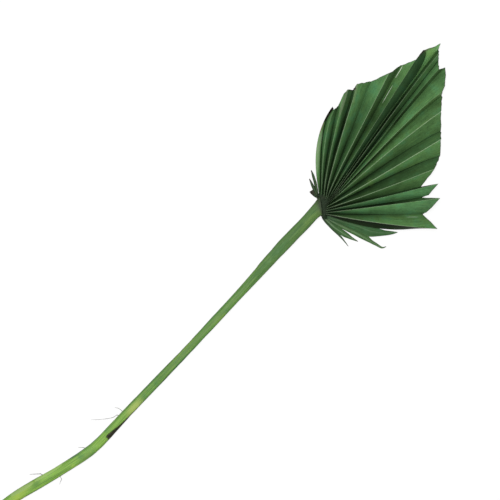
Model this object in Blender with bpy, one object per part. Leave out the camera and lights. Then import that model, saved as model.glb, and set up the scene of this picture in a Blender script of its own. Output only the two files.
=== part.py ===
"""Dried fan palm leaf, cut with its stalk and trimmed to a spear shape.

The leaf lies on its back on a flat surface, upper side up.  Its length runs
along +Y from the cut end of the stalk to the point of the blade.  All the
dimensions below are in millimetres in the leaf's own working frame: zero is
the middle of the hastula (the dark crest where stalk and blade meet), +Y runs
along the leaf to the tip, +X is to the right, and z = 0 is the surface that
the leaf lies on.  At the end the whole leaf is moved so that its origin is the
bottom centre of its bounding box.
"""
import bpy
import bmesh
from math import sin, cos, exp, radians, hypot, pi

MM = 0.001

# ------------------------------------------------------------------ dimensions
BLADE_THICK = 0.8        # thickness of the dried blade
STRIP_THICK = 0.8        # thickness of the free strips beside it
BASE_Z = 10.0            # height of the blade where it leaves the hastula
BLADE_STATIONS = (0.0, 0.05, 0.12, 0.22, 0.34, 0.46, 0.58, 0.70, 0.80, 0.89, 0.95, 1.0)
STALK_SIDES = 14
STALK_STEP = 14.0        # spacing of the stalk's rings
GAP = 0.4                # clearance between neighbouring pieces

# The folds of the blade, one row each, from the left edge to the right edge.
# R is a ridge, V a valley, E an edge.  Each fold leaves the hastula at its
# base point, runs to its end on the trimmed margin, and bends sideways on the
# way: bend is the greatest sideways offset, to the right if positive, and at
# is how far along the fold it comes.  The blade is a shallow trough: rise is
# the height of its middle surface at the fold's end, more at the sides than
# in the middle.  Depth is how far the fold stands above (or hangs below) that
# middle surface where the pleats are deepest.
#        name    kind  base x  base y  end x  end y  bend   at    rise  depth
FOLDS = (
    ("edge_l", "E", -10.5,   6.0,  -61.2,  79.5, -10.0, 0.55,  27.0,   1.0),
    ("v0",     "V", -10.3,   7.2,  -58.6,  77.0,  -6.4, 0.70,  25.0,  -3.0),
    ("r1",     "R",  -9.8,   8.6,  -57.8,  79.5,  -4.8, 0.62,  25.0,   3.5),
    ("v1",     "V",  -8.2,   9.4,  -58.0,  84.0,  -2.2, 0.45,  23.0,  -3.8),
    ("r2",     "R",  -6.6,   9.8,  -62.0,  96.0,  -2.0, 0.35,  23.0,   4.4),
    ("v2",     "V",  -5.2,  10.0,  -58.0, 106.0,  -1.5, 0.40,  20.5,  -4.2),
    ("r3",     "R",  -3.9,  10.1,  -59.0, 113.0,  -1.6, 0.30,  20.5,   4.4),
    ("v3",     "V",  -2.9,  10.2,  -51.0, 125.0,  -1.0, 0.30,  17.5,  -4.2),
    ("r4",     "R",  -1.9,  10.3,  -43.0, 142.0,  -1.6, 0.25,  17.0,   4.8),
    ("v4",     "V",  -1.1,  10.5,  -40.0, 158.0,  -1.0, 0.30,  14.5,  -4.4),
    ("r5",     "R",  -0.4,  10.6,  -33.0, 172.0,  -1.0, 0.30,  14.0,   4.8),
    ("v5",     "V",   0.1,  10.8,  -34.0, 186.0,   7.4, 0.82,  12.5,  -4.6),
    ("r6",     "R",   0.6,  10.9,  -26.0, 201.0,  -1.8, 0.50,  11.5,   2.6),
    ("v6",     "V",   1.0,  11.0,  -23.0, 196.0,  -1.6, 0.60,  10.0,  -4.0),
    ("r7",     "R",   1.5,  11.0,  -20.0, 193.0,  -1.6, 0.65,   9.5,   2.2),
    ("v7",     "V",   1.9,  10.9,  -16.0, 189.0,   0.2, 0.65,   9.0,  -3.8),
    ("r8",     "R",   2.3,  10.7,   -9.0, 182.0,  -1.2, 0.75,   8.4,   3.4),
    ("v8",     "V",   2.6,  10.4,   -6.0, 188.0,  -1.0, 0.75,   7.6,  -4.0),
    ("r9",     "R",   2.9,  10.0,    9.0, 167.0,  -3.0, 0.65,   6.4,   4.4),
    ("v9",     "V",   3.1,   9.5,   12.0, 165.0,  -2.6, 0.72,   5.2,  -4.2),
    ("r10",    "R",   3.3,   8.8,   22.0, 152.0,  -2.0, 0.60,   4.8,   4.4),
    ("v10",    "V",   3.8,   6.6,   36.0, 139.0,  -3.0, 0.62,   4.4,  -4.2),
    ("r11",    "R",   4.6,   4.4,   41.0, 131.0,   0.6, 0.30,   4.8,   4.6),
    ("v11",    "V",   5.2,   3.2,   53.0, 120.0,  -2.6, 0.68,   4.8,  -4.4),
    ("r12",    "R",   6.0,   2.2,   57.0, 105.0,   1.0, 0.40,   7.0,   4.6),
    ("v12",    "V",   6.8,   1.6,   60.0,  84.0,   0.2, 0.50,   8.0,  -4.6),
    ("r13",    "R",   7.7,   1.0,   70.0,  97.0,   0.4, 0.40,  10.0,   4.2),
    ("v13",    "V",   8.6,   0.4,   68.0,  76.0,   0.2, 0.50,  11.5,  -4.4),
    ("r14",    "R",   9.5,  -0.3,   81.0,  87.0,   0.3, 0.40,  14.0,   4.2),
    ("v14",    "V",   9.9,  -1.4,   80.0,  64.0,   0.8, 0.50,  16.0,  -3.4),
    ("r15",    "R",  10.2,  -2.4,  100.0,  62.0,   1.8, 0.50,  19.0,   4.2),
    ("edge_r", "E",  10.5,  -3.4,   87.0,  52.0,   6.5, 0.55,  12.5,  -1.6),
)

# Cut corners of the margin between two folds, where it isn't straight.
#     after this fold, share of the way to the next one, x, y
CORNERS = (
    ("r2", 0.50, -62.0, 101.5),
    ("v8", 0.35, 0.0, 183.0),
    ("v8", 0.75, 7.0, 174.0),
    ("r13", 0.50, 71.0, 82.0),
    ("r14", 0.50, 81.0, 67.0),
)

# Free strips: narrow segments that are split from the blade right down to the
# hastula.  A strip's spine runs through its points (x, y, z); half is its half
# width there, and keel is how deep its middle fold hangs (or stands) there.
STRIPS = {
    "segment_right_1": dict(
        spine=((11.6, -4.8, 6.6), (29.4, 4.2, 5.8), (43.2, 10.8, 5.8), (53.4, 15.0, 6.4),
               (64.0, 22.7, 7.2), (70.5, 29.0, 7.8), (74.0, 33.0, 8.0)),
        half=(0.8, 3.6, 5.4, 5.6, 2.8, 1.3, 0.3),
        keel=(0.0, -0.8, -1.5, -1.7, -1.0, -0.5, 0.0)),
    "segment_right_2": dict(
        spine=((11.6, -6.0, 5.2), (29.4, -1.6, 4.1), (43.0, 3.0, 3.1), (54.0, 6.0, 2.9),
               (65.6, 9.0, 3.2), (73.2, 10.9, 4.4), (75.6, 14.6, 6.6)),
        half=(0.7, 1.9, 2.6, 2.5, 1.5, 0.9, 0.3),
        keel=(0.0, -0.5, -0.8, -0.8, -0.5, -0.3, 0.0)),
    "segment_right_3": dict(
        spine=((10.8, -7.6, 3.3), (18.0, -7.8, 2.7), (26.0, -7.2, 2.4), (35.0, -5.4, 2.4),
               (43.5, -3.5, 2.6), (51.4, -1.2, 3.2)),
        half=(0.6, 1.5, 2.5, 2.9, 1.7, 0.25),
        keel=(0.0, -0.2, -0.3, -0.4, -0.3, 0.0)),
    "segment_right_4": dict(
        spine=((9.2, -8.8, 2.2), (15.5, -9.6, 1.5), (25.0, -10.0, 1.1), (34.0, -9.9, 1.0),
               (40.5, -10.4, 1.1), (47.7, -11.5, 1.7)),
        half=(0.6, 1.1, 1.1, 1.0, 0.7, 0.25),
        keel=(0.0, -0.2, -0.2, -0.2, -0.1, 0.0)),
    "segment_left_1": dict(
        spine=((-10.2, 4.8, 7.4), (-15.5, 8.0, 8.4), (-22.0, 12.4, 9.4), (-28.0, 15.8, 10.6),
               (-33.0, 18.3, 12.2)),
        half=(0.6, 1.3, 1.4, 1.1, 0.3),
        keel=(0.0, -0.6, -0.7, -0.4, 0.0)),
    "segment_left_2": dict(
        spine=((-9.9, 3.6, 6.1), (-15.5, 5.9, 6.4), (-22.0, 8.4, 7.0), (-28.4, 11.0, 8.2)),
        half=(0.6, 1.3, 1.3, 0.3),
        keel=(0.0, -0.5, -0.5, 0.0)),
    "segment_left_3": dict(
        spine=((-9.4, 2.4, 4.8), (-13.0, 3.2, 4.6), (-18.6, 4.4, 4.6)),
        half=(0.6, 1.8, 2.5),
        keel=(0.0, -0.8, -1.2)),
}
STRIP_STATIONS = 13

# The stalk (petiole), one row per station from the cut end to the hastula.
# turn is how far the cross-section is swung about the vertical.
#          y       x     turn  half width  bottom z  top z
STALK = (
    (-450.0, -27.2,  26.0,  5.7, 0.0,  8.0),
    (-430.0, -23.4,  14.0,  6.0, 0.0,  8.4),
    (-405.0, -16.4,  16.0,  6.6, 0.0,  8.8),
    (-380.0,  -9.2,  16.0,  6.1, 0.0,  8.8),
    (-356.0,  -3.0,  12.0,  5.9, 0.0,  8.6),
    (-335.0,   0.2,   4.0,  5.6, 0.1,  8.4),
    (-310.0,   0.6,   0.0,  5.2, 0.2,  8.0),
    (-285.0,   0.1,   0.0,  4.8, 0.4,  7.8),
    (-250.0,   0.7,   0.0,  4.5, 0.7,  8.0),
    (-190.0,   1.1,   0.0,  4.2, 1.2,  8.2),
    (-130.0,   0.2,   0.0,  4.7, 1.8,  8.9),
    (-90.0,   -0.6,   0.0,  5.2, 2.2,  9.6),
    (-55.0,   -1.1,   0.0,  5.8, 2.5, 10.4),
    (-25.0,   -0.9,   0.0,  5.8, 2.8, 11.6),
    (-12.0,   -1.0,   0.0,  5.9, 2.9, 12.2),
    (-6.0,    -0.8, -16.0,  7.2, 3.0, 12.6),
)
HEAD = (-1.25, -0.6, -38.0, 10.0, 3.0, 13.0)   # oblique end against the hastula
# The costa: the stalk's lower half runs on a little way under the blade.
COSTA = (
    (-0.95, -0.5, -38.0, 8.2, 3.1, 6.3),
    (4.0,    1.0, -20.0, 6.4, 3.3, 6.2),
    (11.0,   2.6,   0.0, 4.2, 3.6, 5.9),
    (18.0,   4.2,  12.0, 2.2, 4.0, 5.4),
    (25.0,   5.8,  14.0, 0.6, 4.4, 4.9),
)

# The hastula's front edge, from its left end to its right end (x, y).
HASTULA_FRONT = ((-9.8, 6.2), (-8.8, 8.1), (-5.6, 9.3), (-2.0, 9.7), (0.8, 10.3), (2.5, 9.6),
                 (3.1, 6.6), (4.4, 3.4), (6.5, 1.0), (9.0, -1.3), (9.8, -4.0))
HASTULA_BACK = ((-8.8, 5.75), (8.2, -7.5))
HASTULA_Z = (7.2, 13.2)

# Fibres that have come loose from the skin of the stalk: points (x, y, z).
FIBRE_RADIUS = 0.25
FIBRES = {
    "fibre_1": ((-5.6, -291.6, 5.6), (-9.0, -291.9, 6.0), (-12.3, -293.8, 6.2)),
    "fibre_2": ((-5.6, -298.0, 5.0), (-7.4, -303.6, 5.6), (-13.5, -311.5, 6.2), (-21.1, -319.4, 5.8)),
    "fibre_3": ((-7.4, -345.4, 5.2), (-9.2, -346.8, 5.6), (-11.6, -349.0, 5.6)),
    "fibre_4": ((-20.8, -394.8, 5.4), (-24.0, -398.0, 5.8), (-28.4, -402.8, 5.6)),
    "fibre_5": ((-1.6, -384.2, 5.2), (-0.6, -386.8, 5.2), (0.4, -389.4, 4.8)),
}

# ------------------------------------------------------------------- materials
LOOKS = {
    "leaf_blade":   ((0.060, 0.150, 0.045), 0.55),
    "leaf_strip":   ((0.050, 0.125, 0.045), 0.60),
    "leaf_withered": ((0.035, 0.055, 0.030), 0.70),
    "stalk_skin":   ((0.200, 0.360, 0.090), 0.50),
    "hastula_bark": ((0.035, 0.050, 0.030), 0.75),
    "fibre_dry":    ((0.240, 0.230, 0.200), 0.80),
}


def material(name):
    mat = bpy.data.materials.get(name)
    if mat is None:
        colour, rough = LOOKS[name]
        mat = bpy.data.materials.new(name)
        mat.use_nodes = True
        mat.diffuse_color = (*colour, 1.0)
        shader = mat.node_tree.nodes["Principled BSDF"]
        shader.inputs["Base Color"].default_value = (*colour, 1.0)
        shader.inputs["Roughness"].default_value = rough
        shader.inputs["Metallic"].default_value = 0.0
    return mat


# -------------------------------------------------------------------- geometry
def hump(s, at):
    """0 at both ends of a fold and 1 at the fraction at."""
    if s <= 0.0 or s >= 1.0:
        return 0.0
    a, b = 2.0 * at, 2.0 * (1.0 - at)
    return (s ** a) * ((1.0 - s) ** b) / ((at ** a) * ((1.0 - at) ** b))


def pleat(s):
    """How deep the pleats are: stacked like a shut fan at the hastula, they
    deepen fast, then level off and flatten a little towards the margin."""
    return 0.40 + 0.62 * (1.0 - exp(-6.0 * s)) - 0.12 * s


def fold_point(fold, s):
    """The point a fraction s along a fold, from the hastula to the margin."""
    _, _, bx, by, ex, ey, bend, at, rise, depth = fold
    dx, dy = ex - bx, ey - by
    length = hypot(dx, dy)
    side = bend * hump(s, at)
    return (bx + dx * s + side * dy / length,
            by + dy * s - side * dx / length,
            BASE_Z + (rise - BASE_Z) * s + depth * pleat(s))


def smooth(rows, t):
    """Catmull-Rom through rows of numbers, t from 0 to 1 over the whole list."""
    n = len(rows) - 1
    u = min(max(t, 0.0), 1.0) * n
    i = min(int(u), n - 1)
    f = u - i
    p0, p1, p2, p3 = (rows[max(i - 1, 0)], rows[i], rows[i + 1], rows[min(i + 2, n)])
    out = []
    for a, b, c, d in zip(p0, p1, p2, p3):
        out.append(0.5 * (2 * b + (c - a) * f + (2 * a - 5 * b + 4 * c - d) * f * f
                          + (3 * b - a - 3 * c + d) * f ** 3))
    return out


def finish(name, bm, look, smooth_shade=False, sharp=40.0):
    bmesh.ops.recalc_face_normals(bm, faces=bm.faces)
    mesh = bpy.data.meshes.new(name)
    bm.to_mesh(mesh)
    bm.free()
    mesh.materials.append(material(look))
    if smooth_shade:
        mesh.shade_smooth()
        mesh.set_sharp_from_angle(angle=radians(sharp))
    obj = bpy.data.objects.new(name, mesh)
    bpy.context.scene.collection.objects.link(obj)
    return obj


def loft(bm, rings):
    """A closed tube through rings of points, with both ends capped."""
    layers = [[bm.verts.new([c * MM for c in p]) for p in ring] for ring in rings]
    n = len(layers[0])
    for a, b in zip(layers, layers[1:]):
        for j in range(n):
            k = (j + 1) % n
            bm.faces.new((a[j], a[k], b[k], b[j]))
    bm.faces.new(layers[0][::-1])
    bm.faces.new(layers[-1])
    return layers


def sheet(name, columns, thick, look):
    """A thin closed solid about a folded sheet.

    columns[i][j] is a point of the middle surface.  The sheet's thickness is
    laid off vertically and grows where the sheet is steep, so that the folds
    never run into each other.
    """
    ni, nj = len(columns), len(columns[0])
    bm = bmesh.new()
    top, low = [], []
    for i in range(ni):
        top.append([])
        low.append([])
        for j in range(nj):
            x, y, z = columns[i][j]
            slopes = []
            for m in (i - 1, i + 1):
                if 0 <= m < ni:
                    q = columns[m][j]
                    slopes.append(abs(q[2] - z) / max(hypot(q[0] - x, q[1] - y), 0.2))
            half = 0.5 * thick * min((1.0 + min(slopes) ** 2) ** 0.5, 2.0)
            top[i].append(bm.verts.new((x * MM, y * MM, (z + half) * MM)))
            low[i].append(bm.verts.new((x * MM, y * MM, (z - half) * MM)))
    for i in range(ni - 1):
        for j in range(nj - 1):
            bm.faces.new((top[i][j], top[i + 1][j], top[i + 1][j + 1], top[i][j + 1]))
            bm.faces.new((low[i][j], low[i][j + 1], low[i + 1][j + 1], low[i + 1][j]))
    for i in range(ni - 1):
        for j in (0, nj - 1):
            bm.faces.new((top[i][j], low[i][j], low[i + 1][j], top[i + 1][j]))
    for j in range(nj - 1):
        for i in (0, ni - 1):
            bm.faces.new((top[i][j], top[i][j + 1], low[i][j + 1], low[i][j]))
    bmesh.ops.triangulate(bm, faces=bm.faces)
    return finish(name, bm, look)


def blade_columns():
    """The folds in order, with a column more at each cut corner."""
    columns = []
    for k, fold in enumerate(FOLDS):
        columns.append([fold_point(fold, s) for s in BLADE_STATIONS])
        for before, share, cx, cy in CORNERS:
            if fold[0] != before:
                continue
            after = FOLDS[k + 1]
            p1, q1 = fold_point(fold, 1.0), fold_point(after, 1.0)
            ox = cx - (p1[0] + (q1[0] - p1[0]) * share)
            oy = cy - (p1[1] + (q1[1] - p1[1]) * share)
            column = []
            for s in BLADE_STATIONS:
                p, q = fold_point(fold, s), fold_point(after, s)
                x, y, z = (a + (b - a) * share for a, b in zip(p, q))
                w = max((s - 0.6) / 0.4, 0.0) ** 2
                column.append((x + w * ox, y + w * oy, z))
            columns.append(column)
    return columns


def strip_columns(spec):
    """Left edge, middle fold and right edge of a free strip."""
    left, mid, right = [], [], []
    rows = [(*p, h, k) for p, h, k in zip(spec["spine"], spec["half"], spec["keel"])]
    for j in range(STRIP_STATIONS):
        t = j / (STRIP_STATIONS - 1)
        x, y, z, half, keel = smooth(rows, t)
        a = smooth(rows, max(t - 0.02, 0.0))
        b = smooth(rows, min(t + 0.02, 1.0))
        dx, dy = b[0] - a[0], b[1] - a[1]
        length = hypot(dx, dy)
        nx, ny = dy / length, -dx / length
        half = max(half, 0.2)
        left.append((x - nx * half, y - ny * half, z))
        mid.append((x, y, z + keel))
        right.append((x + nx * half, y + ny * half, z))
    return [left, mid, right]


def stalk_ring(row):
    """Cross-section of the stalk: flat above, rounded below."""
    y, x, turn, half, low, high = row
    c, s = cos(radians(turn)), sin(radians(turn))
    edge = low + 0.60 * (high - low)
    ring = []
    for j in range(STALK_SIDES):
        a = 2 * pi * j / STALK_SIDES
        u = half * cos(a)
        v = sin(a)
        z = edge + (high - edge) * v ** 0.7 if v >= 0 else edge - (edge - low) * (-v) ** 0.9
        ring.append((x + u * c, y + u * s, z))
    return ring


def stalk():
    bm = bmesh.new()
    rings = []
    count = int((STALK[-1][0] - STALK[0][0]) / STALK_STEP)
    ys = [row[0] for row in STALK]
    for k in range(count + 1):
        y = STALK[0][0] + (STALK[-1][0] - STALK[0][0]) * k / count
        i = 0
        while i < len(ys) - 2 and y > ys[i + 1]:
            i += 1
        f = (y - ys[i]) / (ys[i + 1] - ys[i])
        rings.append(stalk_ring(smooth(STALK, (i + f) / (len(STALK) - 1))))
    rings.append(stalk_ring(HEAD))
    rings.extend(stalk_ring(row) for row in COSTA)
    loft(bm, rings)
    return finish("petiole", bm, "stalk_skin", True, 50.0)


def hastula():
    """A low crest with a rounded top, along the head of the stalk."""
    bm = bmesh.new()
    (x0, y0), (x1, y1) = HASTULA_BACK
    low, high = HASTULA_Z
    n = len(HASTULA_FRONT)
    rings = []
    for k, (fx, fy) in enumerate(HASTULA_FRONT):
        t = k / (n - 1)
        bx, by = x0 + (x1 - x0) * t, y0 + (y1 - y0) * t
        crown = high - 1.6 * abs(2 * t - 1) ** 2
        floor = low + 0.2 * abs(2 * t - 1)

        def at(w, z):
            return (bx + (fx - bx) * w, by + (fy - by) * w, z)
        rings.append((at(0.0, floor), at(0.0, crown - 1.0), at(0.22, crown - 0.1), at(0.5, crown),
                      at(0.78, crown - 0.5), at(1.0, crown - 1.6), at(1.0, floor)))
    loft(bm, rings)
    return finish("hastula", bm, "hastula_bark", True, 50.0)


def fibre(name, points):
    """A thin round thread along a smooth line."""
    bm = bmesh.new()
    rings = []
    count, sides = 9, 6
    for k in range(count):
        t = k / (count - 1)
        x, y, z = smooth(points, t)
        a, b = smooth(points, max(t - 0.03, 0)), smooth(points, min(t + 0.03, 1))
        dx, dy = b[0] - a[0], b[1] - a[1]
        length = hypot(dx, dy)
        nx, ny = dy / length, -dx / length
        r = FIBRE_RADIUS * (1.0 - 0.45 * t)
        rings.append([(x + nx * r * cos(2 * pi * j / sides), y + ny * r * cos(2 * pi * j / sides),
                       z + r * sin(2 * pi * j / sides)) for j in range(sides)])
    loft(bm, rings)
    return finish(name, bm, "fibre_dry", True, 60.0)


def main():
    for obj in list(bpy.data.objects):
        bpy.data.objects.remove(obj, do_unlink=True)
    objects = [stalk(), hastula(), sheet("blade", blade_columns(), BLADE_THICK, "leaf_blade")]
    for name, spec in STRIPS.items():
        look = "leaf_withered" if "left" in name else "leaf_strip"
        objects.append(sheet(name, strip_columns(spec), STRIP_THICK, look))
    for name, points in FIBRES.items():
        objects.append(fibre(name, points))

    # put the origin at the bottom centre of the whole leaf's box
    low = [min(v.co[i] for o in objects for v in o.data.vertices) for i in range(3)]
    high = [max(v.co[i] for o in objects for v in o.data.vertices) for i in range(3)]
    shift = (-(low[0] + high[0]) / 2, -(low[1] + high[1]) / 2, -low[2])
    for obj in objects:
        for v in obj.data.vertices:
            v.co.x += shift[0]
            v.co.y += shift[1]
            v.co.z += shift[2]
        obj.data.update()
    print("leaf box mm", [round((h - l) / MM, 1) for l, h in zip(low, high)],
          "shift", [round(s / MM, 2) for s in shift])


main()
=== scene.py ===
"""Looks of the dried fan palm leaf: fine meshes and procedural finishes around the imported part.

Everything below is laid out in millimetres in the leaf's working frame, the one the CAD uses
too: zero is the middle of the hastula, +Y runs to the tip, +X is to the right, z = 0 is the
surface.  SHIFT carries it into the frame's own coordinates.
"""
from math import sin, cos, radians, pi

import bmesh
import bpy
import numpy as np
from mathutils import Matrix, Vector


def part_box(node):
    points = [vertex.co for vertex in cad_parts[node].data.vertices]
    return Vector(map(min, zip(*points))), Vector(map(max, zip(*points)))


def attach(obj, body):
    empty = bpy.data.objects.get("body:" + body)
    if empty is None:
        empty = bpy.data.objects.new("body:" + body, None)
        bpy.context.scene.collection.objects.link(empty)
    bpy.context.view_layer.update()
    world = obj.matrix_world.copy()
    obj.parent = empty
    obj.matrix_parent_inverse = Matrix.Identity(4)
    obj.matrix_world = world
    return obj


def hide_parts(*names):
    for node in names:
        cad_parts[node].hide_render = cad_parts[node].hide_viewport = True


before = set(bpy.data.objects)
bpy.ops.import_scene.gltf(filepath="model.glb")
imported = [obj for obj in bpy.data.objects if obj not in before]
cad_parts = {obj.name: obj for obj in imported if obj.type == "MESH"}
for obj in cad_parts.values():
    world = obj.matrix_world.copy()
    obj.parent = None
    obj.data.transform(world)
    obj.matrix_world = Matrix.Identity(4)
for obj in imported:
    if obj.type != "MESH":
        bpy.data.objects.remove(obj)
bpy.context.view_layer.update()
MM = 0.001

# the CAD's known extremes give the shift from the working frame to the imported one
_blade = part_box("blade")
_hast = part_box("hastula")
SHIFT = np.array((_blade[1][0] / MM - 100.0, _blade[1][1] / MM - 201.0, _hast[1][2] / MM - 13.2))


# ------------------------------------------------------------------ small tools
def lerp(a, b, t):
    return a + (b - a) * t


def sstep(a, b, x):
    """Smooth step from 0 at a to 1 at b, on arrays; a may be larger than b."""
    t = np.clip((np.asarray(x, float) - a) / (b - a), 0.0, 1.0)
    return t * t * (3.0 - 2.0 * t)


def _hash(ix, iy, seed):
    h = np.sin(ix * 127.1 + iy * 311.7 + seed * 74.7) * 43758.5453
    return h - np.floor(h)


def vnoise(x, y, seed=0.0):
    """Value noise from -1 to 1 on arrays."""
    x, y = np.broadcast_arrays(np.asarray(x, float), np.asarray(y, float))
    ix, iy = np.floor(x), np.floor(y)
    fx, fy = x - ix, y - iy
    fx, fy = fx * fx * (3 - 2 * fx), fy * fy * (3 - 2 * fy)
    a, b = _hash(ix, iy, seed), _hash(ix + 1, iy, seed)
    c, d = _hash(ix, iy + 1, seed), _hash(ix + 1, iy + 1, seed)
    return 2 * (a + (b - a) * fx + (c - a) * fy + (a - b - c + d) * fx * fy) - 1


def fbm(x, y, seed=0.0, octaves=3):
    total, amp, scale = 0.0, 0.5, 1.0
    for k in range(octaves):
        total = total + amp * vnoise(np.asarray(x) * scale, np.asarray(y) * scale, seed + 9.1 * k)
        amp, scale = amp * 0.5, scale * 2.03
    return total


def smooth_rows(rows, t):
    """Catmull-Rom through rows of numbers; t is an array from 0 to 1 over the list."""
    rows = np.asarray(rows, float)
    t = np.atleast_1d(np.asarray(t, float))
    n = len(rows) - 1
    u = np.clip(t, 0, 1) * n
    i = np.minimum(u.astype(int), n - 1)
    f = (u - i)[:, None]
    p0, p1 = rows[np.maximum(i - 1, 0)], rows[i]
    p2, p3 = rows[i + 1], rows[np.minimum(i + 2, n)]
    return 0.5 * (2 * p1 + (p2 - p0) * f + (2 * p0 - 5 * p1 + 4 * p2 - p3) * f * f
                  + (3 * p1 - p0 - 3 * p2 + p3) * f ** 3)


def make_object(name, verts, quads, attrs, mat, sharp=None, ngons=()):
    """A mesh object from arrays (mm, working frame), with one float attribute per entry."""
    verts = (np.asarray(verts, float) + SHIFT) * MM
    mesh = bpy.data.meshes.new(name)
    faces = [tuple(int(i) for i in q) for q in quads] + [tuple(int(i) for i in g) for g in ngons]
    mesh.from_pydata([tuple(v) for v in verts], [], faces)
    bm = bmesh.new()
    bm.from_mesh(mesh)
    bmesh.ops.recalc_face_normals(bm, faces=bm.faces)      # every face looks outwards
    bm.to_mesh(mesh)
    bm.free()
    for key, values in attrs.items():
        layer = mesh.attributes.new(key, "FLOAT", "POINT")
        layer.data.foreach_set("value", np.asarray(values, np.float32))
    mesh.materials.append(mat)
    mesh.shade_smooth()
    if sharp:
        mesh.set_sharp_from_angle(angle=radians(sharp))
    mesh.validate()
    mesh.update()
    obj = bpy.data.objects.new(name, mesh)
    bpy.context.scene.collection.objects.link(obj)
    return obj


def closed_sheet(name, mid, half, attrs, mat, sharp=60.0):
    """A closed thin solid about a sheet: mid is (ni, nj, 3), half its half thickness (ni, nj)."""
    ni, nj = mid.shape[:2]
    top, low = mid.copy(), mid.copy()
    top[:, :, 2] += half
    low[:, :, 2] -= half
    verts = np.concatenate((top.reshape(-1, 3), low.reshape(-1, 3)))
    off = ni * nj
    i, j = np.meshgrid(np.arange(ni - 1), np.arange(nj - 1), indexing="ij")
    a = (i * nj + j).ravel()
    b = a + nj
    c, d = b + 1, a + 1
    quads = [np.stack((a, d, c, b), 1), np.stack((a, b, c, d), 1) + off]
    j = np.arange(nj - 1)
    quads.append(np.stack((j, j + off, j + 1 + off, j + 1), 1))
    e = (ni - 1) * nj + j
    quads.append(np.stack((e, e + 1, e + 1 + off, e + off), 1))
    i = np.arange(ni - 1) * nj
    quads.append(np.stack((i, i + nj, i + nj + off, i + off), 1))
    e = i + nj - 1
    quads.append(np.stack((e, e + off, e + nj + off, e + nj), 1))
    quads = np.concatenate(quads)[:, ::-1]
    full = {k: np.concatenate((v.ravel(), v.ravel())) for k, v in attrs.items()}
    full["under"] = np.concatenate((np.zeros(off), np.ones(off)))
    return make_object(name, verts, quads, full, mat, sharp)


def steep_half(mid, thick, cap=2.2):
    """Vertical half thickness that keeps the sheet's true thickness on its slopes."""
    flat = np.hypot(mid[1:, :, 0] - mid[:-1, :, 0], mid[1:, :, 1] - mid[:-1, :, 1])
    slope = np.abs(mid[1:, :, 2] - mid[:-1, :, 2]) / np.maximum(flat, 0.06)
    both = np.concatenate((slope[:1], np.minimum(slope[1:], slope[:-1]), slope[-1:]))
    return 0.5 * thick * np.minimum(np.sqrt(1 + both ** 2), cap)


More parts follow.
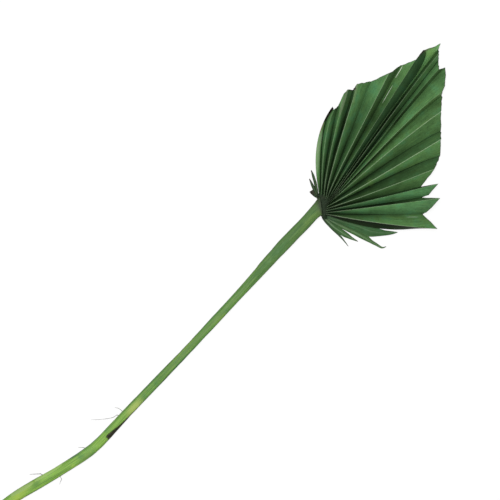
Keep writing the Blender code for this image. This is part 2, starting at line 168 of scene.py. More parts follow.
# -------------------------------------------------------------------- materials
class Net:
    """Short names for building a node material."""

    def __init__(self, name, roughness=0.5, specular=0.5):
        self.mat = bpy.data.materials.new(name)
        self.mat.use_nodes = True
        self.tree = self.mat.node_tree
        self.shader = self.tree.nodes["Principled BSDF"]
        self.shader.inputs["Roughness"].default_value = roughness
        self.shader.inputs["Specular IOR Level"].default_value = specular

    def node(self, kind, **props):
        n = self.tree.nodes.new(kind)
        for k, v in props.items():
            setattr(n, k, v)
        return n

    def put(self, socket, value):
        if isinstance(value, bpy.types.NodeSocket):
            self.tree.links.new(value, socket)
        else:
            socket.default_value = value

    def attr(self, name):
        return self.node("ShaderNodeAttribute", attribute_name=name).outputs["Fac"]

    def math(self, op, a, b=0.0, c=0.0, clamp=False):
        n = self.node("ShaderNodeMath", operation=op, use_clamp=clamp)
        self.put(n.inputs[0], a)
        self.put(n.inputs[1], b)
        self.put(n.inputs[2], c)
        return n.outputs[0]

    def mul(self, a, b):
        return self.math("MULTIPLY", a, b)

    def add(self, a, b):
        return self.math("ADD", a, b)

    def remap(self, value, a, b, c, d, smooth=True):
        n = self.node("ShaderNodeMapRange", interpolation_type="SMOOTHSTEP" if smooth else "LINEAR")
        n.clamp = True
        for k, v in enumerate((value, a, b, c, d)):
            self.put(n.inputs[k], v)
        return n.outputs[0]

    def vec(self, x, y, z=0.0):
        n = self.node("ShaderNodeCombineXYZ")
        self.put(n.inputs[0], x)
        self.put(n.inputs[1], y)
        self.put(n.inputs[2], z)
        return n.outputs[0]

    def place(self):
        return self.node("ShaderNodeTexCoord").outputs["Object"]

    def vmath(self, op, a, b):
        n = self.node("ShaderNodeVectorMath", operation=op)
        self.put(n.inputs[0], a)
        self.put(n.inputs[1], b)
        return n.outputs["Value"] if op in ("DOT_PRODUCT", "LENGTH", "DISTANCE") else n.outputs[0]

    def vscale(self, v, k):
        n = self.node("ShaderNodeVectorMath", operation="SCALE")
        self.put(n.inputs[0], v)
        self.put(n.inputs["Scale"], k)
        return n.outputs[0]

    def noise(self, vector, scale=1.0, detail=2.0, rough=0.5):
        n = self.node("ShaderNodeTexNoise")
        self.put(n.inputs["Vector"], vector)
        n.inputs["Scale"].default_value = scale
        n.inputs["Detail"].default_value = detail
        n.inputs["Roughness"].default_value = rough
        return n.outputs["Fac"]

    def mix(self, fac, a, b, blend="MIX"):
        n = self.node("ShaderNodeMix", data_type="RGBA", blend_type=blend)
        self.put(n.inputs[0], fac)
        self.put(n.inputs[6], a if isinstance(a, bpy.types.NodeSocket) else (*a, 1.0))
        self.put(n.inputs[7], b if isinstance(b, bpy.types.NodeSocket) else (*b, 1.0))
        return n.outputs[2]

    def times(self, colour, factor):
        """A colour times a number."""
        n = self.node("ShaderNodeMix", data_type="RGBA", blend_type="MULTIPLY")
        n.inputs[0].default_value = 1.0
        self.put(n.inputs[6], colour)
        self.put(n.inputs[7], self.vec(factor, factor, factor))
        return n.outputs[2]

    def bump(self, height, strength, distance):
        n = self.node("ShaderNodeBump")
        n.inputs["Strength"].default_value = strength
        n.inputs["Distance"].default_value = distance
        self.put(n.inputs["Height"], height)
        self.put(self.shader.inputs["Normal"], n.outputs[0])

    def line_mask(self, a, b, width, z_span=30.0):
        """1 on the straight line from a to b (x, y in mm, working frame), 0 width mm away."""
        a3 = Vector(((a[0] + SHIFT[0]) * MM, (a[1] + SHIFT[1]) * MM, 0.0))
        b3 = Vector(((b[0] + SHIFT[0]) * MM, (b[1] + SHIFT[1]) * MM, 0.0))
        axis = b3 - a3
        flat = self.vmath("MULTIPLY", self.place(), (1.0, 1.0, 0.0))
        rel = self.vmath("SUBTRACT", flat, tuple(a3))
        share = self.math("DIVIDE", self.vmath("DOT_PRODUCT", rel, tuple(axis)), axis.length_squared,
                          clamp=True)
        near = self.vscale(tuple(axis), share)
        dist = self.vmath("DISTANCE", rel, near)
        taper = self.math("SQRT", self.mul(self.mul(share, self.math("SUBTRACT", 1.0, share)), 4.0))
        dist = self.math("DIVIDE", dist, self.math("MAXIMUM", taper, 0.15))
        return self.remap(dist, width * MM, width * MM * 0.35, 0.0, 1.0)

    def spot_mask(self, p, radius, stretch=(1.0, 1.0)):
        """1 at p (x, y in mm, working frame), falling to 0 at radius mm."""
        q = Vector(((p[0] + SHIFT[0]) * MM, (p[1] + SHIFT[1]) * MM, 0.0))
        flat = self.vmath("MULTIPLY", self.place(), (1.0, 1.0, 0.0))
        rel = self.vmath("SUBTRACT", flat, tuple(q))
        rel = self.vmath("MULTIPLY", rel, (stretch[0], stretch[1], 0.0))
        dist = self.node("ShaderNodeVectorMath", operation="LENGTH")
        self.put(dist.inputs[0], rel)
        return self.remap(dist.outputs["Value"], radius * MM, radius * MM * 0.2, 0.0, 1.0)

    def colour(self, socket):
        self.put(self.shader.inputs["Base Color"], socket)

    def rough(self, socket):
        self.put(self.shader.inputs["Roughness"], socket)


GREEN = (0.047, 0.112, 0.037)
TEAL = (0.028, 0.098, 0.046)
YELLOW = (0.088, 0.158, 0.038)
RIB = (0.255, 0.350, 0.210)
CREASE_SHADE_COLOUR = (0.004, 0.011, 0.003)
BROWN = (0.032, 0.021, 0.019)
STRAW = (0.300, 0.270, 0.130)


def leaf_material(name, marks=()):
    """Dyed, dried leaf: parallel veins, pale ribs, painted shade in the folds, browned cut edge."""
    n = Net(name, 0.60, 0.05)
    ridge, valley, grow = n.attr("ridge"), n.attr("valley"), n.attr("grow")
    vein, tone, warm, rim = n.attr("vein"), n.attr("tone"), n.attr("warm"), n.attr("rim")
    along = n.mul(grow, 0.05)
    fine = n.noise(n.vec(n.mul(vein, 3.1), along), 1.0, 3.0, 0.6)
    broad = n.noise(n.vec(n.mul(vein, 0.55), n.mul(along, 0.7), 7.0), 1.0, 2.0, 0.5)
    blotch = n.noise(n.place(), 85.0, 3.0, 0.55)
    fleck = n.noise(n.vec(n.mul(vein, 1.6), n.mul(grow, 0.35), 3.0), 1.0, 3.0, 0.6)
    # the dye: greener or bluer, lighter or darker, in streaks along the veins, times each facet's tone, which
    # also holds painted light and shade
    colour = n.mix(n.remap(warm, 0.0, 1.0, 0.0, 1.0, False), GREEN, YELLOW)
    colour = n.mix(n.remap(warm, 0.0, -1.0, 0.0, 1.0, False), colour, TEAL)
    colour = n.mix(n.remap(broad, 0.52, 0.75, 0.0, 0.35), colour, YELLOW)
    colour = n.mix(n.remap(blotch, 0.50, 0.72, 0.0, 0.45), colour, TEAL)
    value = n.mul(tone, n.remap(fine, 0.30, 0.70, 0.62, 1.40, False))
    value = n.mul(value, n.remap(blotch, 0.35, 0.65, 0.86, 1.16, False))
    value = n.mul(value, n.remap(fleck, 0.34, 0.48, 0.72, 1.0))
    # folds: painted shade darkens each facet towards its valley and painted light brightens it towards its ridge,
    # most near the hastula
    value = n.mul(value, n.remap(n.attr("deep"), 0.0, 1.0, n.remap(grow, 25.0, 120.0, 1.55, 1.12),
                                 n.remap(grow, 25.0, 120.0, 0.36, 0.84), False))
    # darker near the hastula: partly the dye, partly painted shade where the pleats crowd together
    value = n.mul(value, n.remap(grow, 2.0, 30.0, 0.55, 1.0))
    colour = n.times(colour, n.mul(value, 1.12))
    # a dark line down the crease of each valley: painted shade
    line = n.mul(n.remap(valley, 0.85, 0.25, 0.0, 1.0), n.attr("crease_shade"))
    colour = n.mix(n.mul(line, 0.85), colour, CREASE_SHADE_COLOUR)
    # the ribs on the ridges are worn pale, most in the inner half
    reach = n.remap(grow, 10.0, 90.0, 0.82, 0.66)
    worn = n.mul(n.remap(ridge, reach, n.mul(reach, 0.30), 0.0, 1.0), n.attr("rib"))
    worn = n.mul(worn, n.remap(fleck, 0.28, 0.55, 0.35, 1.0))
    worn = n.mul(worn, n.remap(grow, 2.0, 12.0, 0.45, 1.0))
    colour = n.mix(n.mul(worn, 0.85), colour, RIB)
    # the trimmed margin has dried brown
    edge = n.mul(n.remap(rim, 0.9, 0.25, 0.0, 1.0), n.remap(fleck, 0.35, 0.60, 0.35, 0.95))
    colour = n.mix(edge, colour, BROWN)
    for kind, args, shade, strength in marks:
        mask = n.line_mask(*args) if kind == "line" else n.spot_mask(*args)
        colour = n.mix(n.mul(mask, strength), colour, shade)
    # the underside is duller
    colour = n.mix(n.mul(n.attr("under"), 0.35), colour, (0.050, 0.095, 0.045))
    n.colour(colour)
    n.rough(n.remap(fleck, 0.3, 0.7, 0.48, 0.66, False))
    height = n.add(n.mul(fine, 0.7), n.mul(fleck, 0.3))
    n.bump(height, 0.55, 0.00025)
    return n.mat


# ------------------------------------------------------------------------ blade
BLADE_THICK = 0.50
BASE_Z = 10.0
#   name kind base end bend at rise depth (as the CAD has them)
FOLDS = (
    ("edge_l", "E", -10.5,   6.0,  -61.2,  79.5, -10.0, 0.55,  27.0,   1.0),
    ("v0",     "V", -10.3,   7.2,  -58.6,  77.0,  -6.4, 0.70,  25.0,  -3.0),
    ("r1",     "R",  -9.8,   8.6,  -57.8,  79.5,  -4.8, 0.62,  25.0,   3.5),
    ("v1",     "V",  -8.2,   9.4,  -58.0,  84.0,  -2.2, 0.45,  23.0,  -3.8),
    ("r2",     "R",  -6.6,   9.8,  -62.0,  96.0,  -2.0, 0.35,  23.0,   4.4),
    ("v2",     "V",  -5.2,  10.0,  -58.0, 106.0,  -1.5, 0.40,  20.5,  -4.2),
    ("r3",     "R",  -3.9,  10.1,  -59.0, 113.0,  -1.6, 0.30,  20.5,   4.4),
    ("v3",     "V",  -2.9,  10.2,  -51.0, 125.0,  -1.0, 0.30,  17.5,  -4.2),
    ("r4",     "R",  -1.9,  10.3,  -43.0, 142.0,  -1.6, 0.25,  17.0,   4.8),
    ("v4",     "V",  -1.1,  10.5,  -40.0, 158.0,  -1.0, 0.30,  14.5,  -4.4),
    ("r5",     "R",  -0.4,  10.6,  -33.0, 172.0,  -1.0, 0.30,  14.0,   4.8),
    ("v5",     "V",   0.1,  10.8,  -34.0, 186.0,   7.4, 0.82,  12.5,  -4.6),
    ("r6",     "R",   0.6,  10.9,  -26.0, 201.0,  -1.8, 0.50,  11.5,   2.6),
    ("v6",     "V",   1.0,  11.0,  -23.0, 196.0,  -1.6, 0.60,  10.0,  -4.0),
    ("r7",     "R",   1.5,  11.0,  -20.0, 193.0,  -1.6, 0.65,   9.5,   2.2),
    ("v7",     "V",   1.9,  10.9,  -16.0, 189.0,   0.2, 0.65,   9.0,  -3.8),
    ("r8",     "R",   2.3,  10.7,   -9.0, 182.0,  -1.2, 0.75,   8.4,   3.4),
    ("v8",     "V",   2.6,  10.4,   -6.0, 188.0,  -1.0, 0.75,   7.6,  -4.0),
    ("r9",     "R",   2.9,  10.0,    9.0, 167.0,  -3.0, 0.65,   6.4,   4.4),
    ("v9",     "V",   3.1,   9.5,   12.0, 165.0,  -2.6, 0.72,   5.2,  -4.2),
    ("r10",    "R",   3.3,   8.8,   22.0, 152.0,  -2.0, 0.60,   4.8,   4.4),
    ("v10",    "V",   3.8,   6.6,   36.0, 139.0,  -3.0, 0.62,   4.4,  -4.2),
    ("r11",    "R",   4.6,   4.4,   41.0, 131.0,   0.6, 0.30,   4.8,   4.6),
    ("v11",    "V",   5.2,   3.2,   53.0, 120.0,  -2.6, 0.68,   4.8,  -4.4),
    ("r12",    "R",   6.0,   2.2,   57.0, 105.0,   1.0, 0.40,   7.0,   4.6),
    ("v12",    "V",   6.8,   1.6,   60.0,  84.0,   0.2, 0.50,   8.0,  -4.6),
    ("r13",    "R",   7.7,   1.0,   70.0,  97.0,   0.4, 0.40,  10.0,   4.2),
    ("v13",    "V",   8.6,   0.4,   68.0,  76.0,   0.2, 0.50,  11.5,  -4.4),
    ("r14",    "R",   9.5,  -0.3,   81.0,  87.0,   0.3, 0.40,  14.0,   4.2),
    ("v14",    "V",   9.9,  -1.4,   80.0,  64.0,   0.8, 0.50,  16.0,  -3.4),
    ("r15",    "R",  10.2,  -2.4,  100.0,  62.0,   1.8, 0.50,  19.0,   4.2),
    ("edge_r", "E",  10.5,  -3.4,   87.0,  52.0,   6.5, 0.55,  12.5,  -1.6),
)
CORNERS = {
    "r2": ((0.50, -62.0, 101.5),),
    "v8": ((0.35, 0.0, 183.0), (0.75, 7.0, 174.0)),
    "r13": ((0.50, 71.0, 82.0),),
    "r14": ((0.50, 81.0, 67.0),),
}
# how pale the rib of each ridge is worn, near the hastula and near the margin
RIBS = {
    "r1": (0.5, 0.3), "r2": (0.8, 0.4), "r3": (0.9, 0.8), "r4": (0.9, 0.7), "r5": (0.4, 0.2),
    "r6": (0.6, 0.3), "r7": (0.6, 0.4), "r8": (0.5, 0.2), "r9": (0.8, 0.3), "r10": (0.9, 0.7),
    "r11": (1.0, 0.8), "r12": (0.9, 0.7), "r13": (0.9, 0.5), "r14": (0.8, 0.4), "r15": (0.8, 0.6),
}
# how dark the painted shade line in the crease of each valley is, near the hastula and near the margin
CREASE_SHADING = {
    "v0": (1.0, 1.0), "v1": (0.6, 0.3), "v2": (0.7, 0.4), "v3": (0.6, 0.1), "v4": (0.6, 0.3),
    "v5": (0.8, 0.8), "v6": (0.8, 0.4), "v7": (0.9, 0.9), "v8": (0.6, 0.3), "v9": (0.5, 0.2),
    "v10": (0.7, 0.5), "v11": (0.8, 0.7), "v12": (0.9, 0.8), "v13": (1.0, 1.0), "v14": (0.8, 0.3),
}
# how light or dark each facet, named by its first fold, is coloured, partly by its dye and partly as painted
# light and shade for how the facet meets the light, and how it bows:
# tone near the hastula, half way and near the margin, warmth (yellow +, blue -), bow
DYE_AND_SHADE = {
    "edge_l": (1.60, 2.30, 1.20, 0.1, 0.6),
    "v0": (0.62, 0.78, 1.10, -0.1, 0.3),
    "r1": (1.05, 0.95, 1.00, -0.1, 0.5),
    "v1": (0.50, 0.55, 1.50, 0.0, -0.3),
    "r2": (0.58, 1.35, 1.70, 0.0, 0.6),
    "v2": (0.60, 0.15, 0.42, 0.1, -0.5),
    "r3": (0.76, 0.85, 1.18, 0.0, 0.8),
    "v3": (0.62, 0.60, 1.08, -0.1, 0.6),
    "r4": (0.60, 0.58, 0.74, 0.1, 0.5),
    "v4": (0.63, 0.48, 1.10, 0.1, 0.4),
    "r5": (0.46, 0.38, 0.50, -0.2, 0.5),
    "v5": (1.75, 1.08, 1.58, 0.0, -0.4),
    "r6": (0.97, 0.88, 2.80, 0.1, 0.5),
    "v6": (0.14, 0.18, 0.66, 0.0, 0.3),
    "r7": (0.36, 0.37, 1.08, 0.0, 0.3),
    "v7": (0.13, 0.50, 1.02, -0.1, 0.5),
    "r8": (3.00, 0.28, 0.85, 0.1, -0.4),
    "v8": (0.82, 1.02, 0.97, 0.0, 0.7),
    "r9": (0.71, 0.90, 1.22, 0.3, -0.3),
    "v9": (0.92, 0.92, 0.75, 0.1, 0.7),
    "r10": (0.94, 0.72, 0.86, 0.1, 0.5),
    "v10": (0.36, 0.46, 0.67, 0.0, 0.4),
    "r11": (1.46, 1.12, 1.03, 0.1, 0.8),
    "v11": (0.30, 0.41, 0.57, 0.0, -0.4),
    "r12": (0.43, 0.70, 0.88, 0.1, 0.6),
    "v12": (0.82, 0.64, 0.48, -0.1, 0.4),
    "r13": (1.24, 1.04, 1.04, -0.3, 0.7),
    "v13": (0.22, 0.18, 0.70, 0.0, -0.3),
    "r14": (0.94, 1.04, 0.84, -0.2, 0.7),
    "v14": (0.56, 0.90, 0.88, 0.1, 0.5),
    "r15": (0.10, 0.11, 0.22, 0.3, 0.2),
}
# facets that darken part way across: share at which it starts and ends, and what is left of the tone
FALL = {"r2": (0.20, 0.50, 0.42), "v1": (0.75, 0.45, 0.80)}


def hump(s, at):
    a, b = 2.0 * at, 2.0 * (1.0 - at)
    return (s ** a) * ((1.0 - s) ** b) / ((at ** a) * ((1.0 - at) ** b))


def pleat(s):
    return 0.40 + 0.62 * (1.0 - np.exp(-6.0 * s)) - 0.12 * s


def fold_line(fold, s, back=0.0):
    """Points along a fold; back is how far (mm) each point is drawn back behind its base."""
    _, _, bx, by, ex, ey, bend, at, rise, depth = fold
    dx, dy = ex - bx, ey - by
    length = np.hypot(dx, dy)
    side = bend * hump(s, at)
    s = s - back / length
    return np.stack((bx + dx * s + side * dy / length,
                     by + dy * s - side * dx / length,
                     BASE_Z + (rise - BASE_Z) * s + depth * pleat(np.maximum(s, 0))), 1)


def build_blade(mat):
    s = np.linspace(0.0, 1.0, 100) ** 0.9
    s = np.concatenate(((0.0, 0.0), s[:-1], (0.9955, 1.0)))
    back = np.zeros_like(s)
    back[:2] = 3.4, 1.7                            # the roots of the pleats, under the crest
    near = np.array((0.0, 0.28, 0.60, 1.4))       # mm from a fold to its own fine columns
    mid, ridge, valley, grow, vein, tone, warm, rim, rib, crease_shade, deep = ([] for _ in range(11))
    lines = [fold_line(f, s, back) for f in FOLDS]
    length = [np.hypot(f[4] - f[2], f[5] - f[3]) for f in FOLDS]
    last = len(FOLDS) - 2
    for k in range(last + 1):
        name, kind = FOLDS[k][:2]
        kind2 = FOLDS[k + 1][1]
        p, q = lines[k], lines[k + 1]
        width = np.hypot(q[:, 0] - p[:, 0], q[:, 1] - p[:, 1])
        slant = np.sqrt(width ** 2 + (q[:, 2] - p[:, 2]) ** 2)
        t_in, t_half, t_out, hue, bulge = DYE_AND_SHADE[name]
        middle = (0.35, 0.55, 0.75) if name == "v8" else (0.32, 0.50, 0.68)
        shares = [np.minimum(d / slant, m * 0.08) for m, d in enumerate(near)]
        shares += [np.full_like(s, m) for m in middle]
        shares += [1.0 - np.minimum(d / slant, m * 0.08) for m, d in reversed(list(enumerate(near)))]
        if k < last:
            shares = shares[:-1]
        corner = [(0.0, 0.0, 0.0)]
        for share, cx, cy in CORNERS.get(name, ()):
            e = p[-1] + (q[-1] - p[-1]) * share
            corner.append((share, cx - e[0], cy - e[1]))
        corner.append((1.0, 0.0, 0.0))
        corner = np.array(corner)
        run = lerp(length[k], length[k + 1], 0.5) * s
        for w in shares:
            pos = p + (q - p) * w[:, None]
            pull = np.clip((s - 0.6) / 0.4, 0, 1) ** 2
            pos[:, 0] += pull * np.interp(w, corner[:, 0], corner[:, 1])
            pos[:, 1] += pull * np.interp(w, corner[:, 0], corner[:, 2])
            # the facets aren't flat: they bow between their folds and wave along their length
            arch = 4 * w * (1 - w)
            pos[:, 2] += arch * bulge * sstep(0.05, 0.5, s) * np.minimum(width * 0.10, 1.0)
            pos[:, 2] += arch * sstep(0.1, 0.9, s) * 0.55 * fbm(run / 17.0, w * 1.3 + k * 5.0, 3.0)
            pos[:, 2] += sstep(0.3, 1.0, s) * 0.5 * fbm(run / 26.0, k * 0.9 + w * 0.9, 8.0)
            near_r = np.full_like(s, 30.0)
            near_v = np.full_like(s, 30.0)
            pale, dark = np.zeros_like(s), np.full_like(s, 0.5)
            for kk, share, which in ((kind, w, name), (kind2, 1 - w, FOLDS[k + 1][0])):
                if kk == "R":
                    near_r = np.minimum(near_r, share * width)
                    pale = lerp(RIBS[which][0], RIBS[which][1], sstep(0.35, 0.85, s))
                elif kk == "V":
                    near_v = np.minimum(near_v, share * width)
                    dark = lerp(CREASE_SHADING[which][0], CREASE_SHADING[which][1], sstep(0.35, 0.85, s))
            sunk = w if kind2 == "V" else 1 - w
            # a raised rib runs on each ridge
            pos[:, 2] += 0.30 * np.exp(-(near_r / 0.50) ** 2) * lerp(1.0, 0.45, s)
            # the trimmed margin is a little ragged
            tear = 1.0 * fbm(np.full(1, (k + w[-1]) * 2.3), np.zeros(1), 21.0)[0]
            tear += 0.60 * vnoise(np.full(1, (k + w[-1]) * 9.7), np.zeros(1), 5.0)[0]
            away = (pos[-1] - pos[-3])
            away = away / np.linalg.norm(away)
            pos += away[None, :] * (tear * sstep(0.97, 1.0, s))[:, None]
            mid.append(pos)
            ridge.append(near_r)
            rib.append(pale)
            crease_shade.append(dark)
            deep.append(np.full_like(s, 1.0) * sunk)
            valley.append(near_v)
            grow.append(run)
            vein.append(w * 14.0 + k * 31.7)
            start, stop, left = FALL.get(name, (0.0, 1.0, 1.0))
            drop = lerp(1.0, lerp(1.0, left, sstep(start, stop, w)), sstep(0.25, 0.45, s))
            tone.append(np.interp(s, (0.30, 0.60, 0.92), (t_in, t_half, t_out)) * drop)
            warm.append(np.full_like(s, hue))
            d = (1 - s) * lerp(length[k], length[k + 1], w)
            if name == "edge_l":
                d = np.minimum(d, w * slant)
            if k == last:
                d = np.minimum(d, 0.45 + (1 - w) * slant)
            rim.append(d)
    mid = np.array(mid)
    attrs = dict(ridge=np.array(ridge), valley=np.array(valley), grow=np.array(grow),
                 vein=np.array(vein), tone=np.array(tone), warm=np.array(warm), rim=np.array(rim),
                 rib=np.array(rib), crease_shade=np.array(crease_shade), deep=np.array(deep))
    return closed_sheet("palm_blade", mid, steep_half(mid, BLADE_THICK), attrs, mat, 75.0)


# ----------------------------------------------------------------------- strips
STRIPS = {
    "segment_right_1": dict(
        spine=((11.6, -4.8, 6.6), (29.4, 4.2, 5.8), (43.2, 10.8, 5.8), (53.4, 15.0, 6.4),
               (64.0, 22.7, 7.2), (70.5, 29.0, 7.8), (74.0, 33.0, 8.0)),
        half=(0.8, 3.6, 5.4, 5.6, 3.0, 1.6, 0.3), keel=(0.0, -0.8, -1.5, -1.7, -1.0, -0.5, 0.0),
        tone=0.58, warm=-0.2, pale=0.12, tuck=4.5, tuck_to=0.62, root=(5.5, -3.2, 6.6)),
    "segment_right_2": dict(
        spine=((11.6, -6.0, 5.2), (29.4, -1.6, 4.1), (43.0, 3.0, 3.1), (54.0, 6.0, 2.9),
               (65.6, 9.0, 3.2), (73.2, 10.9, 4.4), (75.6, 14.6, 6.6)),
        half=(0.7, 1.7, 2.3, 2.2, 1.5, 0.9, 0.3), keel=(0.0, -0.4, -0.7, -0.7, -0.5, -0.3, 0.0),
        tone=0.64, warm=0.1, pale=0.25, tuck=4.5, tuck_to=0.66, root=(6.0, -4.0, 5.2)),
    "segment_right_3": dict(
        spine=((10.8, -7.6, 3.3), (18.0, -7.8, 2.7), (26.0, -7.2, 2.4), (35.0, -5.4, 2.4),
               (43.5, -3.5, 2.6), (51.4, -1.2, 3.2)),
        half=(0.6, 1.5, 2.5, 2.9, 1.7, 0.25), keel=(0.0, -0.3, -0.6, -0.7, -0.3, 0.0),
        tone=0.58, warm=0.0, pale=0.35, tuck=3.6, tuck_to=0.62, root=(5.5, -5.5, 3.6)),
    "segment_right_4": dict(
        spine=((9.2, -8.6, 2.2), (15.5, -9.3, 1.6), (25.0, -9.6, 1.2), (34.0, -9.7, 1.1),
               (40.5, -10.3, 1.2), (47.7, -11.5, 1.7)),
        half=(0.7, 1.2, 1.2, 1.0, 0.7, 0.25), keel=(0.0, -0.2, -0.3, -0.2, -0.1, 0.0),
        tone=0.36, warm=-0.2, pale=0.1, tuck=1.5, tuck_to=0.55, root=(4.5, -6.5, 2.8)),
    "segment_left_1": dict(
        spine=((-10.2, 4.8, 7.4), (-15.5, 8.0, 8.4), (-22.0, 12.4, 9.4), (-28.0, 15.8, 10.6),
               (-33.0, 18.3, 12.2)),
        half=(0.7, 1.4, 1.5, 1.2, 0.40), keel=(0.0, -0.6, -0.7, -0.4, 0.0),
        tone=0.30, warm=0.0, pale=0.15, tuck=0.0, tuck_to=0.5, root=(-5.5, 3.2, 7.2)),
    "segment_left_2": dict(
        spine=((-9.9, 3.6, 6.1), (-15.5, 5.9, 6.4), (-22.0, 8.4, 7.0), (-28.4, 11.0, 8.2)),
        half=(0.7, 1.5, 1.4, 0.40), keel=(0.0, -0.5, -0.5, 0.0),
        tone=0.30, warm=0.0, pale=0.15, tuck=0.0, tuck_to=0.5, root=(-5.5, 2.2, 6.2)),
    "segment_left_3": dict(
        spine=((-9.4, 2.4, 4.8), (-13.0, 3.2, 4.6), (-18.6, 4.4, 4.6)),
        half=(0.7, 2.2, 3.0), keel=(0.0, -0.8, -1.2),
        tone=0.32, warm=-0.2, pale=0.1, tuck=0.0, tuck_to=0.5, root=(-5.5, 1.4, 5.0)),
}


def build_strip(name, spec, mat, seed):
    count = 70
    across = np.array((-1.0, -0.86, -0.66, -0.42, -0.2, -0.08, 0.0, 0.08, 0.2, 0.42, 0.66, 0.86, 1.0))
    rows = [(*p, h, k) for p, h, k in zip(spec["spine"], spec["half"], spec["keel"])]
    rows.insert(0, (*spec["root"], rows[0][3] * 0.9, 0.0))      # its root, under the crest
    t = np.linspace(0, 1, count)
    size = np.linalg.norm(np.array(spec["spine"][-1]) - np.array(spec["spine"][0]))
    mid, ridge, valley, grow, vein, rim, tone = ([] for _ in range(7))
    for u in across:
        body = smooth_rows(rows, t)
        a, b = smooth_rows(rows, np.maximum(t - 0.02, 0)), smooth_rows(rows, np.minimum(t + 0.02, 1))
        d = b[:, :2] - a[:, :2]
        d /= np.linalg.norm(d, axis=1)[:, None]
        half = np.maximum(body[:, 3], 0.22)
        half = half * (1 + 0.10 * fbm(t * 9 + seed, np.full_like(t, np.sign(u) * 3.0), seed)
                       * sstep(0.1, 0.3, t))
        reach = half + (spec["tuck"] * np.sin(pi * np.clip(t / spec["tuck_to"], 0, 1)) if u < 0 else 0.0)
        x = body[:, 0] + d[:, 1] * reach * u
        y = body[:, 1] - d[:, 0] * reach * u
        z = body[:, 2] + body[:, 4] * (1 - abs(u))
        if u < 0:
            z = z - 0.30 * (reach - half) * abs(u)
        z = z + 0.30 * half * 0.35 * (u * u) * np.sin(t * 7 + seed) * sstep(0.2, 0.8, t)
        z = z + 0.22 * np.exp(-(np.abs(abs(u) * half) / 0.35) ** 2)
        mid.append(np.stack((x, y, z), 1))
        ridge.append(np.full_like(t, abs(u)) * half + 0.12)
        valley.append(np.full_like(t, 1.6) + half * abs(u))
        grow.append(t * size + 2.0)
        vein.append(np.full_like(t, u * 7.0 + seed * 13.0))
        # darker towards the root by the crest: partly the dye, partly painted shade
        tone.append(spec["tone"] * lerp(0.62, 1.0, sstep(0.05, 0.40, t)))
        skin = 0.30 if "left" in name else 0.50
        rim.append(np.minimum((1 - abs(u)) * half + skin, (1 - t) * size * 0.22))
    mid = np.array(mid)
    attrs = dict(ridge=np.array(ridge), valley=np.array(valley), grow=np.array(grow),
                 vein=np.array(vein), rim=np.array(rim),
                 tone=np.array(tone), warm=np.full(mid.shape[:2], spec["warm"]),
                 rib=np.full(mid.shape[:2], spec["pale"]), crease_shade=np.full(mid.shape[:2], 0.4),
                 deep=np.full(mid.shape[:2], 0.3))
    return closed_sheet("palm_" + name, mid, steep_half(mid, 0.5, 1.6), attrs, mat, 75.0)


# ---------------------------------------------------------------------- petiole
STALK = (
    (-450.0, -27.2,  26.0,  5.7, 0.0,  8.0),
    (-430.0, -23.4,  14.0,  6.0, 0.0,  8.4),
    (-405.0, -16.4,  16.0,  6.6, 0.0,  8.8),
    (-380.0,  -9.2,  16.0,  6.1, 0.0,  8.8),
    (-356.0,  -3.0,  12.0,  5.9, 0.0,  8.6),
    (-335.0,   0.5,   4.0,  5.3, 0.1,  8.4),
    (-310.0,   0.8,   0.0,  4.9, 0.2,  8.0),
    (-285.0,   0.4,   0.0,  4.5, 0.4,  7.8),
    (-250.0,   0.7,   0.0,  4.5, 0.7,  8.0),
    (-190.0,   1.1,   0.0,  4.2, 1.2,  8.2),
    (-130.0,   0.2,   0.0,  4.7, 1.8,  8.9),
    (-90.0,   -0.6,   0.0,  5.5, 2.2,  9.6),
    (-55.0,   -1.1,   0.0,  6.2, 2.5, 10.4),
    (-25.0,   -0.9,   0.0,  6.2, 2.8, 11.6),
    (-12.0,   -1.0,   0.0,  6.3, 2.9, 12.2),
    (-6.0,    -0.8, -16.0,  7.2, 3.0, 12.6),
)
HEAD = (-1.25, -0.6, -38.0, 10.0, 3.0, 13.0)
COSTA = (
    (-0.95, -0.5, -38.0, 8.2, 3.1, 6.3),
    (4.0,    1.0, -20.0, 6.4, 3.3, 6.2),
    (11.0,   2.6,   0.0, 4.2, 3.6, 5.9),
    (18.0,   4.2,  12.0, 2.2, 4.0, 5.4),
    (25.0,   5.8,  14.0, 0.6, 4.4, 4.9),
)
# torn skin on the right-hand edge: how far in (x) it reaches at each y
SCAR = ((1.9, -321.6), (0.9, -320.4), (1.7, -315.0), (2.4, -310.0), (3.4, -302.0), (4.0, -293.0),
        (4.4, -282.0), (4.8, -270.0), (5.6, -262.0))
STALK_SIDES = 56


def stalk_row(y):
    ys = np.array([r[0] for r in STALK])
    i = np.clip(np.searchsorted(ys, y) - 1, 0, len(ys) - 2)
    f = (y - ys[i]) / (ys[i + 1] - ys[i])
    return smooth_rows(STALK, (i + f) / (len(ys) - 1))[0]


